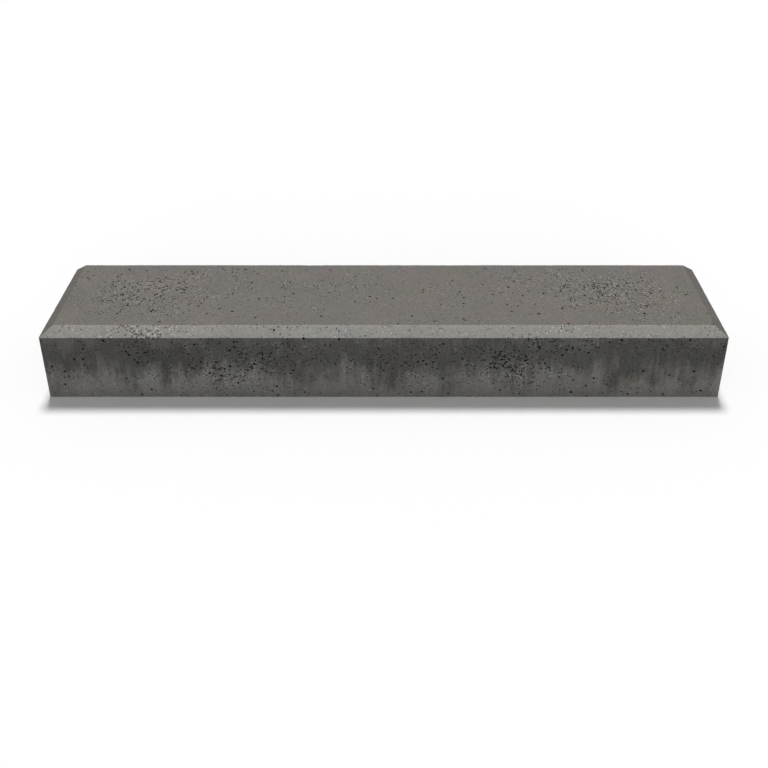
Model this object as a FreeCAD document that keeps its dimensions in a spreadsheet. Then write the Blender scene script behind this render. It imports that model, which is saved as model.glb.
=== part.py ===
"""Cast-concrete garden sleeper: one solid block with bevelled top edges.

The block lies on its base.  X runs along its length, Y across its width and Z up.
The origin is the centre of the base.  All sizes are millimetres.
"""

import FreeCAD, Part
import os
import Sketcher

SIZES = {
    "sleeper_length": 1000,  # over the two end faces
    "sleeper_width": 200,  # over the two long faces
    "sleeper_height": 120,  # base to flat top
    "bevel_drop": 15,  # height of the bevel, measured down from the top
    "long_bevel_width": 12,  # how far the bevel runs in from each long face
    "end_bevel_width": 20,  # how far the bevel runs in from each end face
    "corner_radius": 3,  # rounding of the four upright corners
    "arris_radius": 1.5,  # rounding of every edge of the bevels
}

TOUCH = 1e-6  # heights this close are the same height
UPRIGHT = 0.99  # an edge whose direction has at least this much Z stands upright


def make_sheet(doc):
    """The spreadsheet that holds every driving size."""
    sheet = doc.addObject("Spreadsheet::Sheet", "Sizes")
    for row, (alias, size) in enumerate(SIZES.items(), start=1):
        sheet.set(f"A{row}", alias)
        sheet.set(f"B{row}", str(size))
        sheet.setAlias(f"B{row}", alias)
    doc.recompute()
    return sheet


def origin_plane(body, role):
    """The body's own origin plane with that role."""
    return next(f for f in body.Origin.OriginFeatures if f.Role == role)


def make_sketch(body, name, role):
    """An empty sketch on one of the body's origin planes."""
    sketch = body.newObject("Sketcher::SketchObject", name)
    sketch.AttachmentSupport = [(origin_plane(body, role), "")]
    sketch.MapMode = "FlatFace"
    return sketch


def draw_loop(sketch, points):
    """Closes straight lines through the points and returns their numbers."""
    lines = []
    for start, end in zip(points, points[1:] + points[:1]):
        segment = Part.LineSegment(FreeCAD.Vector(*start, 0), FreeCAD.Vector(*end, 0))
        lines.append(sketch.addGeometry(segment))
    for line, following in zip(lines, lines[1:] + lines[:1]):
        sketch.addConstraint(Sketcher.Constraint("Coincident", line, 2, following, 1))
    return lines


def bind(sketch, kind, elements, value, name, expression):
    """Adds a named dimension to the sketch and ties it to the sheet."""
    number = sketch.addConstraint(Sketcher.Constraint(kind, *elements, value))
    sketch.renameConstraint(number, name)
    sketch.setExpression(f"Constraints.{name}", expression)


def add_block(body):
    """The rectangular block, padded up from its plan."""
    half_length, half_width = SIZES["sleeper_length"] / 2, SIZES["sleeper_width"] / 2
    plan = make_sketch(body, "Plan", "XY_Plane")
    front, right, back, left = draw_loop(
        plan,
        [
            (-half_length, -half_width),
            (half_length, -half_width),
            (half_length, half_width),
            (-half_length, half_width),
        ],
    )
    for line in (front, back):
        plan.addConstraint(Sketcher.Constraint("Horizontal", line))
    for line in (right, left):
        plan.addConstraint(Sketcher.Constraint("Vertical", line))
    plan.addConstraint(Sketcher.Constraint("Symmetric", front, 1, back, 1, -1, 1))
    bind(plan, "DistanceX", (front, 1, front, 2), 2 * half_length, "length", "Sizes.sleeper_length")
    bind(plan, "DistanceY", (right, 1, right, 2), 2 * half_width, "width", "Sizes.sleeper_width")
    block = body.newObject("PartDesign::Pad", "Block")
    block.Profile = plan
    block.setExpression("Length", "Sizes.sleeper_height")
    return block


def add_upright_rounding(doc, body, block):
    """Rounds the four upright corners of the block."""
    doc.recompute()
    uprights = [
        f"Edge{number}"
        for number, edge in enumerate(block.Shape.Edges, start=1)
        if abs(edge.tangentAt(edge.FirstParameter).z) > UPRIGHT
    ]
    rounding = body.newObject("PartDesign::Fillet", "UprightRounding")
    rounding.Base = (block, uprights)
    rounding.setExpression("Radius", "Sizes.corner_radius")
    doc.recompute()
    return rounding


def add_bevels(body, name, role, span, bevel_width):
    """Cuts the two opposite top edges away along straight bevels.

    The sketch lies across the bevelled edges: its first axis runs across them and
    its second axis is height.  span is the sheet's size over the two faces, and
    bevel_width is how far each bevel runs in from its face.
    """
    half_span, top = SIZES[span] / 2, SIZES["sleeper_height"]
    inset, drop = SIZES[bevel_width], SIZES["bevel_drop"]
    profile = make_sketch(body, f"{name}Profile", role)
    for side, word in ((-1, "Near"), (1, "Far")):
        corner = (side * half_span, top)
        below, inside = (side * half_span, top - drop), (side * (half_span - inset), top)
        loop = [corner, below, inside]
        upright, _, level = draw_loop(profile, loop)
        profile.addConstraint(Sketcher.Constraint("Vertical", upright))
        profile.addConstraint(Sketcher.Constraint("Horizontal", level))
        out, back_in = ((-1, 1), (upright, 1)) if side > 0 else ((upright, 1), (-1, 1))
        bind(profile, "DistanceX", (*out, *back_in), half_span, f"Reach{word}", f"Sizes.{span} / 2")
        bind(profile, "DistanceY", (-1, 1, upright, 1), top, f"Top{word}", "Sizes.sleeper_height")
        bind(profile, "DistanceY", (upright, 2, upright, 1), drop, f"Drop{word}", "Sizes.bevel_drop")
        near, far = ((level, 1), (level, 2)) if side > 0 else ((level, 2), (level, 1))
        bind(profile, "DistanceX", (*near, *far), inset, f"Inset{word}", f"Sizes.{bevel_width}")
    bevels = body.newObject("PartDesign::Pocket", name)
    bevels.Profile = profile
    bevels.Type = "ThroughAll"
    bevels.Midplane = True
    return bevels


def add_arris_rounding(doc, body, bevelled):
    """Softens every edge of the bevels: round the flat top, down the hips and along the faces."""
    doc.recompute()
    shoulder = SIZES["sleeper_height"] - SIZES["bevel_drop"]
    arrises = [
        f"Edge{number}"
        for number, edge in enumerate(bevelled.Shape.Edges, start=1)
        if all(vertex.Z > shoulder - TOUCH for vertex in edge.Vertexes)
    ]
    softening = body.newObject("PartDesign::Fillet", "ArrisRounding")
    softening.Base = (bevelled, arrises)
    softening.setExpression("Radius", "Sizes.arris_radius")
    doc.recompute()
    return softening


def make_sleeper(doc):
    """The whole cast block as one body."""
    body = doc.addObject("PartDesign::Body", "ConcreteSleeper")
    body.Label = "concrete_sleeper"
    block = add_block(body)
    add_upright_rounding(doc, body, block)
    add_bevels(body, "LongBevels", "YZ_Plane", "sleeper_width", "long_bevel_width")
    end_bevels = add_bevels(body, "EndBevels", "XZ_Plane", "sleeper_length", "end_bevel_width")
    add_arris_rounding(doc, body, end_bevels)
    return body


def check(doc, bodies):
    """Stops the build if any object failed or any body isn't one sound solid."""
    failed = [o.Name for o in doc.Objects if {"Invalid", "Error"} & set(o.State)]
    if failed:
        raise RuntimeError(f"these objects failed: {failed}")
    for body in bodies:
        shape = body.Shape
        if shape.isNull() or not shape.isValid() or len(shape.Solids) != 1:
            raise RuntimeError(f"{body.Label} is not one valid solid")


def main():
    doc = FreeCAD.newDocument("ConcreteSleeper")
    make_sheet(doc)
    bodies = [make_sleeper(doc)]
    doc.recompute()
    check(doc, bodies)
    os.makedirs("parts", exist_ok=True)
    for body in bodies:
        body.Shape.exportStep(f"parts/{body.Label}.step")
        box = body.Shape.BoundBox
        print(body.Label, box.XLength, box.YLength, box.ZLength, body.Shape.Volume)


main()
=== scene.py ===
"""A cast-concrete sleeper: its weathered casting, its finish, and the studio it lies in.

The casting is cut from a plain block, given the slight unevenness of a cast face and then
pitted with air pores and small arris chips.  One finish covers it.  Sizes are metres, apart from
those that say they are millimetres.
"""

import logging
import math
import random
from collections.abc import Iterator
from dataclasses import dataclass, field
from enum import Enum

import bmesh
import bpy
from mathutils import Matrix, Vector, noise


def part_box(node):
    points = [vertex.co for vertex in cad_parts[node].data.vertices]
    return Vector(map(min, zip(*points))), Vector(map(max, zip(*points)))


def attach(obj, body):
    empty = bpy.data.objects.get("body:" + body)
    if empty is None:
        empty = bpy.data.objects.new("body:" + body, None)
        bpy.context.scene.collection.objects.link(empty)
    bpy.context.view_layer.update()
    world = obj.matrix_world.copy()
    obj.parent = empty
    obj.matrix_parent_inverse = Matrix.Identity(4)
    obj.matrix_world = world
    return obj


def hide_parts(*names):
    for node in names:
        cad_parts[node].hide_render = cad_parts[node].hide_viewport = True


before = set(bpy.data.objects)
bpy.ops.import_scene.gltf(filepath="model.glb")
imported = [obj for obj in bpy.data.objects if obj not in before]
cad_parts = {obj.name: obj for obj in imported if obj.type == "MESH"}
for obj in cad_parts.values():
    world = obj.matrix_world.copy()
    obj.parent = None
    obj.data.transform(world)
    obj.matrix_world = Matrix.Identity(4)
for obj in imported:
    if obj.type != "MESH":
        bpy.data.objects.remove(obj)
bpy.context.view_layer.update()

NODE = "concrete_sleeper"
MM = 0.001
SQUARE_MM = 1e-6
ON_PLANE = 1e-7  # how near a cutting plane a point counts as on it
ON_SCORE = 1e-6  # the same for the planes that divide the faces into cells
LOG = logging.getLogger("sleeper")

Colour = tuple[float, float, float, float]
Span = tuple[float, float]


def grey(level: float) -> Colour:
    """The grey of that brightness, from 0 to 1."""
    return (level, level, level, 1.0)


WHITE = grey(1.0)


class Skin(Enum):
    """The kinds of face on the casting."""

    TOP = "top"
    LONG_BEVEL = "long_bevel"
    END_BEVEL = "end_bevel"
    LONG_SIDE = "long_side"
    END = "end"
    BASE = "base"


@dataclass(frozen=True)
class Facet:
    """One flat face of the casting, as a plane.

    Attributes:
        skin: the kind of face it is.
        normal: the way it faces, of length 1.
        reach: its distance from the origin along the normal.
    """

    skin: Skin
    normal: Vector
    reach: float

    def depth(self, point: Vector) -> float:
        """How far the point lies below this face."""
        return self.reach - self.normal.dot(point)

    def axes(self) -> tuple[Vector, Vector]:
        """The face's two measuring axes: level, and across it."""
        level = Vector((0, 1, 0)) if abs(self.normal.x) > 0.5 else Vector((1, 0, 0))
        return level, self.normal.cross(level).normalized()

    def reading(self, point: Vector) -> tuple[float, float]:
        """A point's place along the casting's own axes, level and across, in millimetres."""
        level = point.y if self.skin in (Skin.END, Skin.END_BEVEL) else point.x
        across = point.y if self.skin in (Skin.TOP, Skin.BASE) else point.z
        return level / MM, across / MM


@dataclass(frozen=True)
class Cluster:
    """A patch of the casting where air gathered in the mould.

    Attributes:
        middle: its centre on the face, in millimetres along the casting's own axes.
        spread: how far it fades out along them, in millimetres.
        weight: what its centre adds to the airiness of the plain face.
    """

    middle: Span
    spread: Span
    weight: float


@dataclass(frozen=True)
class Patchwork:
    """How random patches are laid on a face that has none of its own.

    Attributes:
        half_run: how far they reach each way along the face, in millimetres.
        middle: the middle of the band they lie in, in millimetres across the face.
        half_band: half the band's width, in millimetres.
        patches: how many there are.
        strength: how strong they are, against those of a broad face.
    """

    half_run: float
    middle: float
    half_band: float
    patches: int
    strength: float = 1.0


@dataclass(frozen=True)
class Airiness:
    """How many pores a kind of face holds, and of what size.

    Attributes:
        per_thousand: about how many pores 1000 square millimetres of plain face hold.
        large_share: the part of them that are large.
        patchwork: how its random patches are laid.
        clusters: the patches of the face at the top or the front, where those aren't random.
    """

    per_thousand: float
    large_share: float
    patchwork: Patchwork
    clusters: tuple[Cluster, ...] = ()


TOP_CLUSTERS = (
    Cluster((-425, -4), (28, 32), 2.4),
    Cluster((-384, 12), (30, 28), 2.4),
    Cluster((-352, -14), (32, 32), 3.3),
    Cluster((-338, 38), (30, 20), 2.4),
    Cluster((-345, -52), (40, 18), 1.4),
    Cluster((-283, -8), (28, 35), 2.4),
    Cluster((-268, 62), (42, 12), 2.8),
    Cluster((-212, 26), (30, 22), 1.9),
    Cluster((-148, -34), (25, 22), 1.4),
    Cluster((-100, 22), (35, 32), 1.9),
    Cluster((-32, 20), (28, 38), 1.4),
    Cluster((62, -10), (38, 38), 0.9),
    Cluster((118, 18), (30, 32), 1.4),
    Cluster((204, 24), (28, 25), 1.9),
    Cluster((256, 60), (40, 12), 2.8),
    Cluster((278, -8), (25, 32), 2.4),
    Cluster((322, 34), (32, 28), 2.8),
    Cluster((350, -22), (32, 35), 3.3),
    Cluster((392, 14), (32, 30), 2.8),
    Cluster((424, -36), (30, 32), 1.9),
)

FRONT_CLUSTERS = (
    Cluster((-462, 52), (18, 32), 0.9),
    Cluster((-412, 96), (50, 10), 1.1),
    Cluster((-372, 72), (22, 20), 1.1),
    Cluster((-338, 84), (38, 15), 1.4),
    Cluster((-262, 56), (42, 32), 2.0),
    Cluster((-196, 52), (42, 28), 2.7),
    Cluster((-150, 74), (32, 22), 1.4),
    Cluster((-104, 92), (42, 12), 1.4),
    Cluster((-62, 66), (28, 20), 0.9),
    Cluster((4, 66), (38, 25), 2.0),
    Cluster((52, 46), (25, 25), 1.4),
    Cluster((96, 88), (32, 15), 0.9),
    Cluster((152, 72), (42, 25), 2.4),
    Cluster((196, 56), (35, 25), 2.4),
    Cluster((236, 90), (32, 12), 1.7),
    Cluster((252, 42), (25, 20), 1.4),
    Cluster((322, 96), (60, 10), 2.0),
    Cluster((366, 12), (28, 8), 1.1),
    Cluster((412, 88), (35, 12), 1.1),
    Cluster((466, 84), (22, 18), 0.9),
)


@dataclass(frozen=True)
class Ripple:
    """One layer of a cast face's unevenness.

    Attributes:
        pace: how many lumps of noise it has to the metre.
        start: where in the noise it begins.
        share: its part of the whole.
    """

    pace: float
    start: tuple[float, float, float]
    share: float


RIPPLES = (
    Ripple(9.0, (3.1, 7.7, 1.3), 0.40),
    Ripple(31.0, (11.0, 2.0, 5.0), 0.28),
    Ripple(95.0, (0.4, 9.2, 6.6), 0.16),
)


@dataclass(frozen=True)
class Arris:
    """A straight edge of the casting that has chips.

    Attributes:
        start: one end.
        end: the other end.
        chips: how many chips are tried along it.
        bite: how large they are, as a share of the usual.
    """

    start: Vector
    end: Vector
    chips: int
    bite: float


@dataclass(frozen=True)
class Hollow:
    """One bite out of the casting.

    Attributes:
        middle: the bite's centre.
        radius: its mean radius.
        stretch: how many times as long as wide it is along X.
        rounds: the icosphere's subdivisions.
    """

    middle: Vector
    radius: float
    stretch: float
    rounds: int


@dataclass
class Casting:
    """The block as cast: the clean shape, the unevenness of its faces, and its hollows.

    Attributes:
        low: the lowest corner of the box it fills.
        high: the highest corner.
        bevel_drop: the height of the bevels, down from the top.
        long_inset: how far the long bevels run in from the long sides.
        end_inset: how far the end bevels run in from the ends.
        upright_radius: the rounding of the four upright corners.
        upright_flats: the narrow flats in each of those roundings.
        arris_radius: the rounding of the bevels' edges.
        arris_flats: the narrow flats in each of those roundings.
        cell: the mesh's spacing before it is pitted.
        swell: the most that a face lies back from true.
        usual_swell: how much of the swell a face has on average.
        wear: the most that an arris is worn back beside that.
        wear_pace: how many lumps of noise the wear has to the metre.
        wear_reach: how far from an arris the wear goes, as a share of its rounding.
        crease: the least turn between two faces that shows as an edge, in degrees.
        weld: how near two points of the pitted mesh are made one.
        seed: sets every random choice.
        facets: its ten faces, which are worked out.
    """

    low: Vector
    high: Vector
    bevel_drop: float = 15 * MM
    long_inset: float = 12 * MM
    end_inset: float = 20 * MM
    upright_radius: float = 3 * MM
    upright_flats: int = 3
    arris_radius: float = 1.5 * MM
    arris_flats: int = 2
    cell: float = 9.0 * MM
    swell: float = 0.30 * MM
    usual_swell: float = 0.45
    wear: float = 0.5 * MM
    wear_pace: float = 130.0
    wear_reach: float = 1.2
    crease: float = 34.0
    weld: float = 0.002 * MM
    seed: int = 1203
    facets: list[Facet] = field(default_factory=list)

    def __post_init__(self) -> None:
        """Works out the ten faces and the source of the random choices."""
        self.rng = random.Random(self.seed)
        shoulder = self.high.z - self.bevel_drop
        self.facets.append(Facet(Skin.TOP, Vector((0, 0, 1)), self.high.z))
        self.facets.append(Facet(Skin.BASE, Vector((0, 0, -1)), -self.low.z))
        for side in (-1, 1):
            for out, reach, inset, upright, bevel in (
                (Vector((0, side, 0)), self.high.y, self.long_inset, Skin.LONG_SIDE, Skin.LONG_BEVEL),
                (Vector((side, 0, 0)), self.high.x, self.end_inset, Skin.END, Skin.END_BEVEL),
            ):
                lean = (out * self.bevel_drop + Vector((0, 0, inset))).normalized()
                ridge = out * reach + Vector((0, 0, shoulder))
                self.facets.append(Facet(upright, out, reach))
                self.facets.append(Facet(bevel, lean, lean.dot(ridge)))

    def of_kind(self, *skins: Skin) -> list[Facet]:
        """The faces of those kinds."""
        return [facet for facet in self.facets if facet.skin in skins]

    def nearest(self, point: Vector) -> tuple[Facet, float]:
        """The face that a point lies under.

        Args:
            point: a place in or on the casting.

        Returns:
            The face and the point's depth below it.
        """
        facet = min(self.facets, key=lambda each: each.depth(point))
        return facet, facet.depth(point)

    def cut(self, shape: bmesh.types.BMesh, normal: Vector, reach: float) -> None:
        """Trims the shape to what lies behind a plane, and closes it.

        Args:
            shape: the closed shape to trim.
            normal: the way the cut face looks.
            reach: the plane's distance from the origin along the normal.
        """
        trimmed = bmesh.ops.bisect_plane(
            shape,
            geom=shape.verts[:] + shape.edges[:] + shape.faces[:],
            dist=ON_PLANE,
            plane_co=normal * reach,
            plane_no=normal,
            clear_outer=True,
        )
        rim = [item for item in trimmed["geom_cut"] if isinstance(item, bmesh.types.BMEdge)]
        bmesh.ops.contextual_create(shape, geom=[edge for edge in rim if edge.is_boundary])

    def soften(
        self,
        shape: bmesh.types.BMesh,
        first: Facet,
        second: Facet,
        radius: float,
        flats: int,
    ) -> None:
        """Rounds the arris between two faces with narrow flats that touch the rounding.

        Args:
            shape: the closed shape.
            first: one face.
            second: the face beside it.
            radius: the rounding's radius.
            flats: the number of flats.
        """
        spread = first.normal.angle(second.normal)
        bisector = (first.normal + second.normal).normalized()
        ridge_gap = radius / math.cos(spread / 2)
        ridge = self.ridge_point(first, second)
        centre = ridge - bisector * ridge_gap
        for step in range(1, flats + 1):
            share = step / (flats + 1)
            normal = first.normal.slerp(second.normal, share)
            self.cut(shape, normal, normal.dot(centre) + radius)

    def ridge_point(self, first: Facet, second: Facet) -> Vector:
        """The point nearest the origin on the line where two faces meet."""
        cosine = first.normal.dot(second.normal)
        scale = 1 - cosine * cosine
        along_first = (first.reach - second.reach * cosine) / scale
        along_second = (second.reach - first.reach * cosine) / scale
        return first.normal * along_first + second.normal * along_second

    def clean_shape(self) -> bmesh.types.BMesh:
        """The true block, with its bevels and rounded arrises."""
        shape = bmesh.new()
        bmesh.ops.create_cube(shape, size=1.0)
        bmesh.ops.scale(shape, vec=self.high - self.low, verts=shape.verts[:])
        bmesh.ops.translate(shape, vec=(self.low + self.high) / 2, verts=shape.verts[:])
        for facet in self.of_kind(Skin.LONG_BEVEL, Skin.END_BEVEL):
            self.cut(shape, facet.normal, facet.reach)
        sides = self.of_kind(Skin.LONG_SIDE)
        ends = self.of_kind(Skin.END)
        for side in sides:
            for end in ends:
                self.soften(shape, side, end, self.upright_radius, self.upright_flats)
        top = self.of_kind(Skin.TOP)[0]
        bevels = self.of_kind(Skin.LONG_BEVEL, Skin.END_BEVEL)
        pairs = [(top, bevel) for bevel in bevels]
        for bevel in bevels:
            pairs.append((bevel, max(sides + ends, key=lambda each: each.normal.dot(bevel.normal))))
        for long_bevel in self.of_kind(Skin.LONG_BEVEL):
            for end_bevel in self.of_kind(Skin.END_BEVEL):
                pairs.append((long_bevel, end_bevel))
        for first, second in pairs:
            self.soften(shape, first, second, self.arris_radius, self.arris_flats)
        return shape

    def divide(self, shape: bmesh.types.BMesh) -> None:
        """Scores the whole shape into cells, so that its faces can be uneven."""
        for axis in range(3):
            low, high = self.low[axis], self.high[axis]
            count = round((high - low) / self.cell)
            normal = Vector([float(axis == other) for other in range(3)])
            for step in range(1, count):
                bmesh.ops.bisect_plane(
                    shape,
                    geom=shape.verts[:] + shape.edges[:] + shape.faces[:],
                    dist=ON_SCORE,
                    plane_co=normal * (low + (high - low) * step / count),
                    plane_no=normal,
                )

    def unevenness(self, point: Vector) -> float:
        """How far a face lies back from true at a point, from 0 to 1."""
        lie = self.usual_swell
        for ripple in RIPPLES:
            lie += ripple.share * noise.noise(point * ripple.pace + Vector(ripple.start))
        return min(1.0, max(0.0, lie))

    def warp(self, shape: bmesh.types.BMesh) -> None:
        """Lets every face lie back a little, and the arrises a little more."""
        shape.normal_update()
        for vert in shape.verts:
            depths = sorted(facet.depth(vert.co) for facet in self.facets)
            worn = 0.0
            if depths[1] < self.wear_reach * self.arris_radius:
                worn = max(0.0, noise.noise(vert.co * self.wear_pace)) * self.wear
            vert.co -= vert.normal * (self.swell * self.unevenness(vert.co) + worn)

    def build(self, name: str, airiness: dict[Skin, Airiness]) -> bpy.types.Object:
        """Makes the finished casting.

        Args:
            name: the piece's name.
            airiness: how many pores each kind of face holds.

        Returns:
            The casting, with its hollows cut and its faces marked.
        """
        shape = self.clean_shape()
        self.divide(shape)
        LOG.info("%s: %d faces before its hollows", name, len(shape.faces))
        self.warp(shape)
        block = as_object(name, shape)
        hollows = HollowField(self, airiness)
        cutter = as_object(f"{name}_hollows", hollows.cutter())
        LOG.info("%s: %d hollows", name, len(hollows.hollows))
        pitted = block.modifiers.new("Pits", "BOOLEAN")
        pitted.operation = "DIFFERENCE"
        pitted.solver = "MANIFOLD"
        pitted.object = cutter
        seen = block.evaluated_get(bpy.context.evaluated_depsgraph_get())
        mesh = bpy.data.meshes.new_from_object(seen)
        block.modifiers.clear()
        block.data = mesh
        mesh.name = name
        bpy.data.objects.remove(cutter)
        self.seal(mesh)
        self.mark(mesh, hollows)
        mesh.shade_smooth()
        mesh.set_sharp_from_angle(angle=math.radians(self.crease))
        LOG.info("%s: %d triangles with them", name, len(mesh.polygons))
        return block

    def seal(self, mesh: bpy.types.Mesh) -> None:
        """Divides the pitted mesh into triangles, and clears the folded and vanishing ones.

        Args:
            mesh: the closed mesh that the cutting leaves.
        """
        shape = bmesh.new()
        shape.from_mesh(mesh)
        bmesh.ops.triangulate(shape, faces=shape.faces[:])
        known: dict[frozenset[int], bmesh.types.BMFace] = {}
        folded = []
        for face in shape.faces:
            corners = frozenset(vert.index for vert in face.verts)
            if corners in known:
                folded += [face, known[corners]]
            known[corners] = face
        bmesh.ops.delete(shape, geom=folded, context="FACES")
        bmesh.ops.remove_doubles(shape, verts=shape.verts[:], dist=self.weld)
        shape.to_mesh(mesh)
        shape.free()

    def mark(self, mesh: bpy.types.Mesh, hollows: "HollowField") -> None:
        """Stores on the mesh which face each part belongs to, how deep it lies and how airy it is.

        Args:
            mesh: the pitted casting.
            hollows: its hollows, which know the airy patches.
        """
        depths, airs = [], []
        for vert in mesh.vertices:
            facet, depth = self.nearest(vert.co)
            depths.append(depth / MM)
            airs.append(min(1.0, hollows.airy(facet, vert.co) / hollows.fullest))
        for name, values in (("hollow_depth", depths), ("airiness", airs)):
            mesh.attributes.new(name, "FLOAT", "POINT").data.foreach_set("value", values)
        kinds = [self.nearest(face.center)[0].skin for face in mesh.polygons]
        for skin in Skin:
            layer = mesh.attributes.new(skin.value, "FLOAT", "FACE")
            layer.data.foreach_set("value", [float(kind is skin) for kind in kinds])


class HollowField:
    """The pores and arris chips of one casting, kept clear of each other.

    Attributes:
        grid: the width of the cells that neighbours are looked up in.
        batch: how many balls are made at a time, because each one slows the next.
        plain: the airiness of a face outside its patches.
        fullest: the airiness at which no pore that is drawn is dropped.
        tries: how many pores are drawn for each that a face should hold.
        margin: how far hollows keep apart, as a share of their sizes.
        small: the radii of the small pores, in millimetres.
        large: the radii of the large pores, in millimetres.
        chips: the radii of the usual chips, in millimetres.
        round_from: the radius from which a pore has finer facets, in millimetres.
        sink: how far a pore's middle lies under the face, as a share of its radius.
        pore_stretch: how many times as long as wide a pore is.
        chip_stretch: the same for a chip on a long arris.
        lumpy: how far the points of a ball stray, as a share of its radius.
        lump_pace: how many lumps of noise the airiness has to the metre.
        lump_least: what the airiness is times where the noise is least.
        lump_swing: how much more that is where the noise is greatest.
        patch_length: how far random patches fade out along a face, in millimetres.
        patch_width: the same across it.
        patch_weight: what their centres add to the airiness.
    """

    grid: float = 12 * MM
    batch: int = 50
    plain: float = 2.0
    fullest: float = 7.0
    tries: float = 4.5
    margin: float = 1.2
    small: Span = (0.55, 0.98)
    large: Span = (1.15, 2.1)
    chips: Span = (0.8, 2.1)
    round_from: float = 1.5
    sink: Span = (-0.15, 0.45)
    pore_stretch: Span = (0.95, 1.25)
    chip_stretch: Span = (1.0, 1.9)
    lumpy: float = 0.14
    lump_pace: float = 55.0
    lump_least: float = 0.35
    lump_swing: float = 1.3
    patch_length: Span = (16, 36)
    patch_width: Span = (9, 24)
    patch_weight: Span = (1.5, 4.5)

    def __init__(self, casting: Casting, airiness: dict[Skin, Airiness]) -> None:
        """Draws every hollow.

        Args:
            casting: the block they are in.
            airiness: how many pores each kind of face holds.
        """
        self.casting = casting
        self.rng = casting.rng
        self.hollows: list[Hollow] = []
        self.taken: dict[tuple[int, int, int], list[Hollow]] = {}
        self.patches: list[tuple[Facet, tuple[Cluster, ...]]] = []
        for facet in casting.facets:
            kind = airiness[facet.skin]
            known = kind.clusters if facet.normal.y < 0.5 else ()
            self.patches.append((facet, known or self.random_clusters(kind.patchwork)))
        self.chip()
        for facet in casting.facets:
            self.scatter(facet, airiness[facet.skin])

    def clusters_of(self, facet: Facet) -> tuple[Cluster, ...]:
        """The airy patches of a face."""
        return next(clusters for known, clusters in self.patches if known is facet)

    def cell_of(self, point: Vector) -> tuple[int, int, int]:
        """The search cell that holds a point."""
        return tuple(math.floor(value / self.grid) for value in point)

    def nearby(self, point: Vector) -> Iterator[Hollow]:
        """Every hollow in the cells round a point."""
        x, y, z = self.cell_of(point)
        for dx in (-1, 0, 1):
            for dy in (-1, 0, 1):
                for dz in (-1, 0, 1):
                    yield from self.taken.get((x + dx, y + dy, z + dz), ())

    def keep(self, hollow: Hollow) -> bool:
        """Adds a hollow if it is clear of the others, and says whether it was."""
        size = hollow.radius * hollow.stretch * self.margin
        for other in self.nearby(hollow.middle):
            clear = size + other.radius * other.stretch * self.margin
            if (other.middle - hollow.middle).length < clear:
                return False
        self.hollows.append(hollow)
        self.taken.setdefault(self.cell_of(hollow.middle), []).append(hollow)
        return True

    def arrises(self) -> list[Arris]:
        """The edges that have chips: along, then round each end."""
        low, high = self.casting.low, self.casting.high
        foot, shoulder = low.z, high.z - self.casting.bevel_drop
        found = []
        for z, chips, bite in ((shoulder, 22, 0.75), (foot, 12, 0.7)):
            for y in (low.y, high.y):
                found.append(Arris(Vector((low.x, y, z)), Vector((high.x, y, z)), chips, bite))
        for x in (low.x, high.x):
            for z, chips, bite in ((shoulder, 7, 0.8), (foot, 4, 0.7)):
                found.append(Arris(Vector((x, low.y, z)), Vector((x, high.y, z)), chips, bite))
            for y in (low.y, high.y):
                found.append(Arris(Vector((x, y, foot)), Vector((x, y, shoulder)), 9, 1.3))
        return found

    def chip(self) -> None:
        """Takes small bites out of the arrises, drawn out along the long ones."""
        for arris in self.arrises():
            long_one = abs(arris.start.x - arris.end.x) > MM
            for _ in range(arris.chips):
                place = arris.start.lerp(arris.end, self.rng.random())
                radius = arris.bite * self.rng.uniform(*self.chips) * MM
                stretch = self.rng.uniform(*self.chip_stretch) if long_one else 1.0
                self.keep(Hollow(place, radius, stretch, 1))

    def airy(self, facet: Facet, place: Vector) -> float:
        """How airy the face is at a place.

        Args:
            facet: the face.
            place: a point on it.

        Returns:
            The airiness: plain, or more in a patch, times a local lumpiness of about 1.
        """
        level, across = facet.reading(place)
        gather = self.plain
        for cluster in self.clusters_of(facet):
            along = (level - cluster.middle[0]) / cluster.spread[0]
            aside = (across - cluster.middle[1]) / cluster.spread[1]
            gather += cluster.weight * math.exp(-0.5 * (along * along + aside * aside))
        lumps = 0.5 + 0.5 * noise.noise(place * self.lump_pace)
        return gather * (self.lump_least + self.lump_swing * lumps)

    def random_clusters(self, patchwork: Patchwork) -> tuple[Cluster, ...]:
        """Airy patches for a face that has none of its own.

        Args:
            patchwork: how they are laid.

        Returns:
            The patches.
        """
        draw = self.rng.uniform
        run, band = patchwork.half_run, patchwork.half_band
        return tuple(
            Cluster(
                (draw(-run, run), patchwork.middle + draw(-band, band)),
                (draw(*self.patch_length), draw(*self.patch_width)),
                draw(*self.patch_weight) * patchwork.strength,
            )
            for _ in range(patchwork.patches)
        )

    def scatter(self, facet: Facet, airiness: Airiness) -> None:
        """Draws one face's pores.

        Args:
            facet: the face.
            airiness: how many pores its kind holds.
        """
        level, across = facet.axes()
        casting = self.casting
        size = casting.high - casting.low
        half = (abs(level.dot(size)) / 2, sum(abs(a * b) for a, b in zip(across, size)) / 2)
        centre = (casting.low + casting.high) / 2
        centre += facet.normal * facet.depth(centre)
        area = 4 * half[0] * half[1] / SQUARE_MM
        for _ in range(round(area * airiness.per_thousand / 1000 * self.tries)):
            along = self.rng.uniform(-half[0], half[0])
            aside = self.rng.uniform(-half[1], half[1])
            place = centre + level * along + across * aside
            if casting.nearest(place)[0] is not facet:
                continue
            if self.rng.random() * self.fullest > self.airy(facet, place):
                continue
            large = self.rng.random() < airiness.large_share
            radius = self.rng.uniform(*(self.large if large else self.small))
            sink = self.rng.uniform(*self.sink) * radius
            middle = place - facet.normal * (sink * MM + casting.swell / 2)
            stretch = self.rng.uniform(*self.pore_stretch)
            self.keep(Hollow(middle, radius * MM, stretch, 2 if radius > self.round_from else 1))

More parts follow.
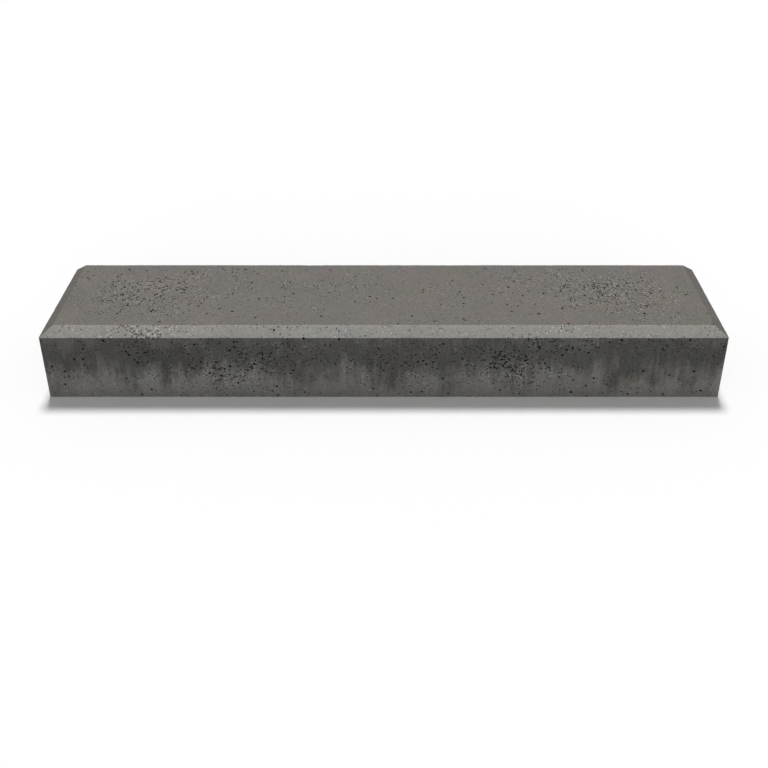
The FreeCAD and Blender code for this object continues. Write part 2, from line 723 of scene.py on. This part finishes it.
    def cutter(self) -> bmesh.types.BMesh:
        """All the bites as one loose group of closed, slightly lumpy balls."""
        balls = bmesh.new()
        for start in range(0, len(self.hollows), self.batch):
            few = bmesh.new()
            for hollow in self.hollows[start : start + self.batch]:
                self.add_ball(few, hollow)
            carrier = bpy.data.meshes.new("batch")
            few.to_mesh(carrier)
            few.free()
            balls.from_mesh(carrier)
            bpy.data.meshes.remove(carrier)
        return balls

    def add_ball(self, balls: bmesh.types.BMesh, hollow: Hollow) -> None:
        """Adds one bite's ball.

        Args:
            balls: the bmesh that takes it.
            hollow: the bite.
        """
        turn = Matrix.Rotation(self.rng.uniform(0, math.tau), 4, self.random_axis())
        widen = Matrix.Diagonal((hollow.stretch, 1, 1, 1))
        ball = bmesh.ops.create_icosphere(
            balls,
            subdivisions=hollow.rounds,
            radius=hollow.radius,
            matrix=Matrix.Translation(hollow.middle) @ widen @ turn,
        )
        for vert in ball["verts"]:
            vert.co += self.random_axis() * hollow.radius * self.rng.uniform(0, self.lumpy)

    def random_axis(self) -> Vector:
        """A direction drawn at random."""
        turn, height = self.rng.uniform(0, math.tau), self.rng.uniform(-1, 1)
        flat = math.sqrt(1 - height * height)
        return Vector((flat * math.cos(turn), flat * math.sin(turn), height))


def as_object(name: str, shape: bmesh.types.BMesh) -> bpy.types.Object:
    """Turns a bmesh into an object at the origin, and frees the bmesh.

    Args:
        name: the object's and the mesh's name.
        shape: the bmesh.

    Returns:
        The new object, linked to the scene.
    """
    mesh = bpy.data.meshes.new(name)
    bmesh.ops.recalc_face_normals(shape, faces=shape.faces[:])
    shape.to_mesh(mesh)
    shape.free()
    piece = bpy.data.objects.new(name, mesh)
    bpy.context.scene.collection.objects.link(piece)
    return piece


def linear(red: int, green: int, blue: int) -> Colour:
    """A screen colour, 0 to 255 a channel, as the shader's linear colour."""
    channels = [value / 255 for value in (red, green, blue)]
    lit = [((c + 0.055) / 1.055) ** 2.4 if c > 0.04045 else c / 12.92 for c in channels]
    return (*lit, 1.0)


class Value:
    """A number in a shader, which takes part in sums as a Python number does."""

    def __init__(self, bench: "Bench", socket: bpy.types.NodeSocket) -> None:
        """Wraps an output socket of one of the bench's nodes."""
        self.bench = bench
        self.socket = socket

    def sum(self, operation: str, *terms: "Value | float") -> "Value":
        """Adds one Math node."""
        return self.bench.node("ShaderNodeMath", {"operation": operation}, dict(enumerate(terms)))

    def __add__(self, other: "Value | float") -> "Value":
        """self + other."""
        return self.sum("ADD", self, other)

    def __radd__(self, other: float) -> "Value":
        """other + self."""
        return self.sum("ADD", other, self)

    def __sub__(self, other: "Value | float") -> "Value":
        """self - other."""
        return self.sum("SUBTRACT", self, other)

    def __rsub__(self, other: float) -> "Value":
        """other - self."""
        return self.sum("SUBTRACT", other, self)

    def __mul__(self, other: "Value | float") -> "Value":
        """self * other."""
        return self.sum("MULTIPLY", self, other)

    def __rmul__(self, other: float) -> "Value":
        """other * self."""
        return self.sum("MULTIPLY", other, self)

    def __truediv__(self, other: "Value | float") -> "Value":
        """self / other."""
        return self.sum("DIVIDE", self, other)

    def clipped(self) -> "Value":
        """The number held between 0 and 1."""
        return self.sum("MAXIMUM", self.sum("MINIMUM", self, 1.0), 0.0)

    def between(self, low: float, high: float) -> "Value":
        """A smooth step: 0 below low, 1 above high, or the reverse if high is lower."""
        kind = {"interpolation_type": "SMOOTHSTEP"}
        start, end = (low, high) if low < high else (high, low)
        step = self.bench.node(
            "ShaderNodeMapRange", kind, {"Value": self, "From Min": start, "From Max": end}
        )
        return step if low < high else 1 - step


class Bench:
    """The node tree of a material or world, and the one way that nodes get into it."""

    def __init__(self, owner: bpy.types.Material | bpy.types.World) -> None:
        """Empties the node tree of a new material or world."""
        self.owner = owner
        owner.use_nodes = True
        self.tree = owner.node_tree
        self.tree.nodes.clear()

    def node(
        self,
        kind: str,
        settings: dict[str, object] | None = None,
        values: dict[str | int, object] | None = None,
        output: str | int = 0,
    ) -> Value:
        """Adds a node.

        Args:
            kind: the node's type.
            settings: its properties, which are set first; stops are a ramp's places and colours.
            values: numbers, colours or links for its sockets, by name or place.
            output: the name or place of the output that is wanted.

        Returns:
            That output.
        """
        made = self.tree.nodes.new(kind)
        for key, setting in (settings or {}).items():
            if key == "stops":
                self.set_stops(made.color_ramp, setting)
            else:
                setattr(made, key, setting)
        for key, value in (values or {}).items():
            socket = self.find(made.inputs, key)
            if isinstance(value, Value):
                self.tree.links.new(value.socket, socket)
            else:
                socket.default_value = value
        return Value(self, self.find(made.outputs, output) if made.outputs else None)

    def find(self, sockets: bpy.types.bpy_prop_collection, key: str | int) -> bpy.types.NodeSocket:
        """The socket in use that has that name or place."""
        live = [socket for socket in sockets if socket.enabled]
        return live[key] if isinstance(key, int) else next(s for s in live if s.name == key)

    def set_stops(self, ramp: bpy.types.ColorRamp, stops: list[tuple[float, Colour]]) -> None:
        """Gives a ramp its stops."""
        while len(ramp.elements) < len(stops):
            ramp.elements.new(1.0)
        for element, (place, colour) in zip(ramp.elements, stops):
            element.position = place
            element.color = colour

    def noise(self, where: Value, size: float, detail: float = 3, rough: float = 0.5) -> Value:
        """Soft random values from about 0.2 to 0.8.

        Args:
            where: the place to read.
            size: the width of one lump.
            detail: how many finer layers it has.
            rough: how strong they are.

        Returns:
            The value.
        """
        values = {"Vector": where, "Scale": 1 / size, "Detail": detail, "Roughness": rough}
        return self.node("ShaderNodeTexNoise", None, values)

    def moved(
        self,
        where: Value,
        offset: tuple[float, float, float],
        scale: tuple[float, float, float] = (1, 1, 1),
    ) -> Value:
        """The place stretched and then shifted.

        Args:
            where: the place.
            offset: how far it is shifted along X, Y and Z.
            scale: how many times it is stretched along each.

        Returns:
            The new place.
        """
        values = {"Vector": where, "Location": offset, "Scale": scale}
        return self.node("ShaderNodeMapping", None, values)

    def blend(
        self,
        first: Value | Colour,
        second: Value | Colour,
        share: Value | float,
        kind: str = "MIX",
    ) -> Value:
        """Two colours mixed.

        Args:
            first: the colour at share 0.
            second: the colour at share 1.
            share: how much of the second there is.
            kind: the way they are mixed.

        Returns:
            The colour.
        """
        settings = {"data_type": "RGBA", "blend_type": kind}
        return self.node("ShaderNodeMix", settings, {"Factor": share, "A": first, "B": second})

    def layer(self, name: str) -> Value:
        """A value stored on the mesh."""
        return self.node("ShaderNodeAttribute", {"attribute_name": name}, None, "Fac")


@dataclass(frozen=True)
class CastFinish:
    """The dark, matt, airy face of wet-cast concrete.

    Attributes:
        height: the height of the casting, which the band on its uprights follows.
        warm: its main colour.
        pink: the colour of its pinkish patches.
        olive: the colour of its olive patches.
        slate: the colour of its bluish patches.
        painted_pore_shade: the dark colour painted deep in its pores and in its pinholes, as painted
            shade.
        side_tone_and_painted_shade: how bright the uprights are, against the top; their darkness is
            partly their own mould face and partly painted shade.
        long_bevel_tone_and_painted_light: the same for the long bevels, whose paleness is partly their
            own paler arris and partly painted light.
        end_bevel_painted_shade: the same for the end bevels, whose darkness is painted shade.
        base_tone: the same for the base.
        band: the brightness of the uprights up their height, from foot to bevel.
        pinhole_cell: the width of the cells that hold one pinhole at most.
        sand_cell: the same for the pale grains of sand.
        grain_size: the width of the cement's grain.
        pore_shade_from: how deep in a pore the painted shade begins, in millimetres.
        pore_shade_full: how deep it covers all, in millimetres.
        roughness: how matt it is.
        shine: how strongly it reflects, where 0.5 is usual.
    """

    height: float
    warm: Colour = linear(114, 111, 107)
    pink: Colour = linear(118, 111, 108)
    olive: Colour = linear(113, 111, 103)
    slate: Colour = linear(109, 111, 108)
    # Painted shade: the dark colour painted into deep pores and pinholes.
    painted_pore_shade: Colour = linear(14, 14, 13)
    # Partly painted shade: the uprights' darkness, beyond their own darker mould face.
    side_tone_and_painted_shade: float = 0.74
    # Partly painted light: the long bevels' paleness, beyond their own paler arris.
    long_bevel_tone_and_painted_light: float = 2.04
    # Painted shade: the end bevels' darkness.
    end_bevel_painted_shade: float = 0.82
    base_tone: float = 0.85
    band: tuple[Span, ...] = (
        (0.0, 1.0),
        (0.18, 0.90),
        (0.38, 0.56),
        (0.54, 0.34),
        (0.76, 0.34),
        (0.93, 0.52),
    )
    pinhole_cell: float = 3.4 * MM
    sand_cell: float = 3.0 * MM
    grain_size: float = 2.4 * MM
    # Painted shade fills the pores from this depth down.
    pore_shade_from: float = 0.6
    pore_shade_full: float = 1.5
    roughness: float = 0.9
    shine: float = 0.35

    def material(self, name: str) -> bpy.types.Material:
        """Builds the finish.

        Args:
            name: the material's name.

        Returns:
            The material.
        """
        bench = Bench(bpy.data.materials.new(name))
        where = bench.node("ShaderNodeTexCoord", None, None, "Object")
        side = bench.layer(Skin.LONG_SIDE.value) + bench.layer(Skin.END.value)
        long_bevel = bench.layer(Skin.LONG_BEVEL.value)
        airiness = bench.layer("airiness")
        grain = bench.noise(where, self.grain_size, 3, 0.7)
        holes = airiness * 0.75 + side * 0.08 + long_bevel * 0.14 - 0.80
        pinholes = self.specks(bench, where, self.pinhole_cell, holes, 0.62)
        grains = airiness * 0.60 - 0.74
        sand = self.specks(bench, bench.moved(where, (4, 4, 4)), self.sand_cell, grains, 0.80)
        # Painted light and shade: the face tones darken the uprights and end bevels and lighten the long
        # bevels.
        tone = self.face_tone_with_painted_light(bench, side, long_bevel) * self.mottle(bench, where, side)
        tone = tone * (0.50 + 1.00 * grain) * (1 + 0.60 * sand)
        shade = bench.node("ShaderNodeCombineColor", None, {"Red": tone, "Green": tone, "Blue": tone})
        hue = self.hue(bench, where, side * 0.35 + long_bevel * 0.40)
        colour = bench.blend(hue, shade, 1.0, "MULTIPLY")
        # Painted shade: the deep parts of the pores and the pinholes are painted towards the dark pore
        # colour.
        deep = bench.layer("hollow_depth").between(self.pore_shade_from, self.pore_shade_full)
        pore_shade = deep + pinholes * (0.90 - long_bevel * 0.26)
        colour = bench.blend(colour, self.painted_pore_shade, pore_shade.clipped())
        rough = self.roughness + 0.12 * (grain - 0.5)
        values = {
            "Base Color": colour,
            "Roughness": rough.clipped(),
            "Normal": self.relief(bench, where, grain, pinholes),
            "Specular IOR Level": self.shine,
        }
        surface = bench.node("ShaderNodeBsdfPrincipled", None, values)
        bench.node("ShaderNodeOutputMaterial", None, {"Surface": surface})
        return bench.owner

    def face_tone_with_painted_light(self, bench: Bench, side: Value, long_bevel: Value) -> Value:
        """How bright each kind of face is, against the top, with painted shade in the uprights' and end
        bevels' darkness and painted light in the long bevels' paleness.

        Args:
            bench: the material's bench.
            side: 1 on the uprights.
            long_bevel: 1 on the long bevels.

        Returns:
            The brightness.
        """
        end_bevel = bench.layer(Skin.END_BEVEL.value)
        base = bench.layer(Skin.BASE.value)
        return (
            1
            + side * (self.side_tone_and_painted_shade - 1)
            + long_bevel * (self.long_bevel_tone_and_painted_light - 1)
            + end_bevel * (self.end_bevel_painted_shade - 1)
            + base * (self.base_tone - 1)
        )

    def relief(self, bench: Bench, where: Value, grain: Value, pinholes: Value) -> Value:
        """The fine relief of the face, as a normal.

        Args:
            bench: the material's bench.
            where: the place to read.
            grain: the cement's grain.
            pinholes: 1 in a pinhole.

        Returns:
            The normal.
        """
        lumps = bench.noise(where, 5 * MM, 3, 0.6)
        rise = grain * (0.22 * MM) + lumps * (0.5 * MM) - pinholes * (0.6 * MM)
        values = {"Strength": 0.8, "Distance": 1.0, "Height": rise}
        return bench.node("ShaderNodeBump", None, values)

    def hue(self, bench: Bench, where: Value, cool: Value) -> Value:
        """The slow drift between warm, pinkish, olive and bluish grey.

        Args:
            bench: the material's bench.
            where: the place to read.
            cool: how much more bluish it is there.

        Returns:
            The colour.
        """
        pinkish = bench.noise(bench.moved(where, (0.3, 1.9, 0.2)), 70 * MM, 5, 0.68).between(0.44, 0.60)
        greenish = bench.noise(bench.moved(where, (2.7, 0.4, 0.9)), 42 * MM, 5, 0.68).between(0.47, 0.63)
        bluish = bench.noise(bench.moved(where, (5.1, 3.3, 1.7)), 60 * MM, 5, 0.68).between(0.54, 0.68)
        colour = bench.blend(self.warm, self.pink, pinkish)
        colour = bench.blend(colour, self.olive, greenish * 0.85)
        return bench.blend(colour, self.slate, (bluish * 0.7 + cool).clipped())

    def mottle(self, bench: Bench, where: Value, side: Value) -> Value:
        """Clouds all over, and on the uprights a dark upper band over a pale, streaky foot.

        Args:
            bench: the material's bench.
            where: the place to read.
            side: 1 on the uprights.

        Returns:
            The brightness, about 1.
        """
        clouds = 0.88 + 0.24 * bench.noise(where, 60 * MM, 5, 0.62)
        spots = 0.91 + 0.18 * bench.noise(where, 9 * MM, 3, 0.6)
        streaks = bench.noise(bench.moved(where, (0.7, 0.2, 0), (1, 1, 0.16)), 15 * MM, 5, 0.72)
        threads = bench.noise(bench.moved(where, (0.1, 0.9, 0), (1, 1, 0.22)), 6 * MM, 3, 0.6)
        blots = bench.noise(bench.moved(where, (1.1, 2.2, 0.3)), 46 * MM, 4, 0.6)
        reach = bench.noise(bench.moved(where, (3.1, 0.2, 0.3), (1, 1, 0)), 120 * MM, 2, 0.5)
        rise = bench.node("ShaderNodeSeparateXYZ", None, {"Vector": where}, "Z")
        level = rise / self.height + (0.5 - streaks) * 0.88 + (0.5 - blots) * 0.80
        stops = [(place, grey(bright)) for place, bright in self.band]
        banded = bench.node("ShaderNodeValToRGB", {"stops": stops}, {"Fac": level.clipped()}, "Color")
        shade = bench.node("ShaderNodeSeparateColor", None, {"Color": banded}, "Red")
        strength = 0.55 + 1.3 * reach
        drawn = (threads - 0.5) * 0.24 + (streaks - 0.5) * 0.20
        upright = 1 + strength * (shade * 1.30 - 0.74) + drawn
        return clouds * spots * (1 + side * (upright - 1))

    def specks(self, bench: Bench, where: Value, cell: float, chance: Value, growth: float) -> Value:
        """Small round specks, one to a cell at most.

        Args:
            bench: the material's bench.
            where: the place to read.
            cell: the width of a cell.
            chance: what is added to a cell's draw, from 0 to 1; a cell above 0 has a speck.
            growth: the speck's radius for each 1 that its cell is above 0, as a share of the cell.

        Returns:
            1 in a speck and 0 outside.
        """
        cells = {"voronoi_dimensions": "3D", "feature": "F1"}
        values = {"Vector": where, "Scale": 1 / cell, "Randomness": 1.0}
        gap = bench.node("ShaderNodeTexVoronoi", cells, values, "Distance")
        pick = bench.node("ShaderNodeTexVoronoi", cells, values, "Color")
        draw = bench.node("ShaderNodeSeparateColor", None, {"Color": pick}, "Red")
        radius = (draw + chance).clipped() * growth
        return (radius - gap).between(-0.03, 0.06) * (draw + chance).between(0.0, 0.04)


@dataclass(frozen=True)
class Lamp:
    """A soft distant light.

    Attributes:
        name: the lamp's name.
        lean: its beam's tilt from straight down, toward +Y and toward -X, in degrees.
        strength: its light on a face square to it, where pi shows a colour as written.
        softness: the angle it fills, in degrees.
    """

    name: str
    lean: Span
    strength: float
    softness: float

    def build(self) -> None:
        """Hangs the lamp."""
        light = bpy.data.lights.new(self.name, "SUN")
        light.energy = self.strength
        light.angle = math.radians(self.softness)
        lamp = bpy.data.objects.new(self.name, light)
        lamp.rotation_euler = (math.radians(self.lean[0]), math.radians(self.lean[1]), 0)
        bpy.context.scene.collection.objects.link(lamp)
        LOG.info("lamp %s", self.name)


@dataclass(frozen=True)
class Studio:
    """The pale floor, the soft lamps, the surround and the camera.

    Attributes:
        lamps: the lamps.
        surround: how bright the light from all round is.
        floor_half: half the floor's width.
        floor_seen: how bright the floor's colour is to the camera.
        floor_return: how bright it is to the casting.
        lens: the camera's focal length, in millimetres.
        film: the width of its frame, in millimetres.
        sight: how far it sees.
        stand: where the camera is.
        dip: how far it looks down, in degrees.
        shift: the frame's shift, as a share of its width.
    """

    lamps: tuple[Lamp, ...] = (
        Lamp("overhead_softbox", (-18, 0), 2.36, 12),
        Lamp("front_fill", (70, 4), 0.60, 50),
    )
    surround: float = 0.24
    floor_half: float = 60.0
    floor_seen: float = 0.985
    floor_return: float = 0.80
    lens: float = 46.19109
    film: float = 36.0
    sight: float = 500.0
    stand: tuple[float, float, float] = (0.01075, -1.29197, 0.90119)
    dip: float = 27.48
    shift: Span = (-0.0094, -0.2005)

    def build(self) -> None:
        """Sets up everything round the casting."""
        for lamp in self.lamps:
            lamp.build()
        self.lay_floor()
        self.light_surround()
        self.set_camera()
        bpy.context.scene.view_settings.view_transform = "Standard"

    def lay_floor(self) -> None:
        """Lays the floor just under the casting."""
        shape = bmesh.new()
        bmesh.ops.create_grid(shape, x_segments=1, y_segments=1, size=self.floor_half)
        floor = as_object("studio_floor", shape)
        bench = Bench(bpy.data.materials.new("pale_floor"))
        seen = bench.node("ShaderNodeLightPath", None, None, "Is Camera Ray")
        colour = bench.blend(grey(self.floor_return), grey(self.floor_seen), seen)
        paint = bench.node("ShaderNodeBsdfDiffuse", None, {"Color": colour})
        bench.node("ShaderNodeOutputMaterial", None, {"Surface": paint})
        floor.data.materials.append(bench.owner)
        LOG.info("floor laid")

    def light_surround(self) -> None:
        """Gives even light from all round, and white where the camera sees past the floor."""
        bench = Bench(bpy.data.worlds.new("studio_surround"))
        seen = bench.node("ShaderNodeLightPath", None, None, "Is Camera Ray")
        glow = bench.node("ShaderNodeBackground", None, {"Color": WHITE, "Strength": self.surround})
        backdrop = bench.node("ShaderNodeBackground", None, {"Color": WHITE, "Strength": 1.0})
        choice = bench.node("ShaderNodeMixShader", None, {0: seen, 1: glow, 2: backdrop})
        bench.node("ShaderNodeOutputWorld", None, {"Surface": choice})
        bpy.context.scene.world = bench.owner

    def set_camera(self) -> None:
        """Stands the camera in front of the casting, looking down at it."""
        camera = bpy.data.cameras.new("studio_camera")
        camera.sensor_width = self.film
        camera.lens = self.lens
        camera.shift_x, camera.shift_y = self.shift
        camera.clip_end = self.sight
        stand = bpy.data.objects.new("studio_camera", camera)
        stand.location = self.stand
        stand.rotation_euler = (math.radians(90 - self.dip), 0, 0)
        bpy.context.scene.collection.objects.link(stand)
        bpy.context.scene.camera = stand


AIRINESS = {
    Skin.TOP: Airiness(3.8, 0.15, Patchwork(460, 0, 78, 21), TOP_CLUSTERS),
    Skin.LONG_BEVEL: Airiness(2.8, 0.04, Patchwork(460, 112, 6, 6, 0.5)),
    Skin.END_BEVEL: Airiness(2.8, 0.04, Patchwork(80, 112, 6, 1, 0.5)),
    Skin.LONG_SIDE: Airiness(5.0, 0.18, Patchwork(460, 58, 32, 21), FRONT_CLUSTERS),
    Skin.END: Airiness(4.6, 0.17, Patchwork(80, 58, 32, 4)),
    Skin.BASE: Airiness(0.6, 0.30, Patchwork(460, 0, 78, 21)),
}


def main() -> None:
    """Builds the casting and the studio."""
    logging.basicConfig(level=logging.INFO, format="%(name)s: %(message)s")
    low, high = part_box(NODE)
    casting = Casting(Vector(low), Vector(high))
    piece = casting.build("cast_block", AIRINESS)
    piece.data.materials.clear()
    piece.data.materials.append(CastFinish(casting.high.z).material("airy_concrete"))
    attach(piece, "root")
    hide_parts(NODE)
    LOG.info("cast_block stands for %s", NODE)
    Studio().build()


if __name__ == "__main__":
    main()
